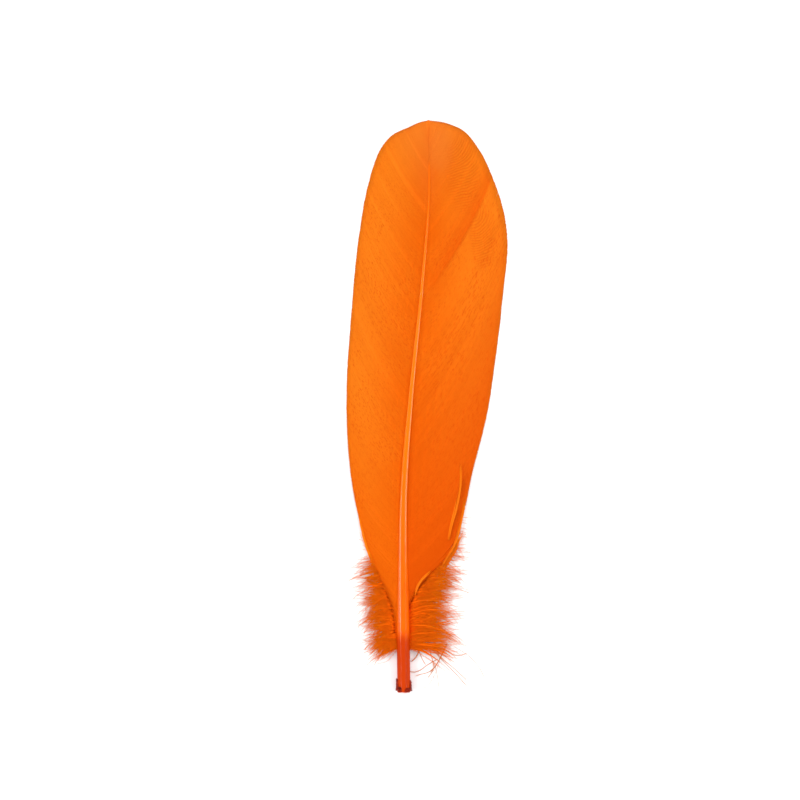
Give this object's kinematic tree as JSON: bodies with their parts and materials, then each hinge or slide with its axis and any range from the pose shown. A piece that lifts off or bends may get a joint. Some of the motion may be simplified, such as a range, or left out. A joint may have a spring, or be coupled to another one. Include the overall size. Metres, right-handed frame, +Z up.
{
  "type": "goose feather",
  "caption": "Dyed goose feather lying on its hollow side: bowed quill, two curved vanes and tufts of down at the base.",
  "frame": {"origin": "on the surface that the feather lies on, under the middle of its length and width", "axes": "+Y along the quill towards the feather's tip, +X towards the wider vane, +Z up from the surface"},
  "size_m": [0.0482, 0.1701, 0.0096],
  "materials": {
    "vane": "orange dyed keratin, satin, fine barbs",
    "quill": "orange dyed horn, glossy",
    "down": "orange dyed fluff, matt"
  },
  "bodies": {
    "root": {"feather": "vane"}
  },
  "joints": []
}
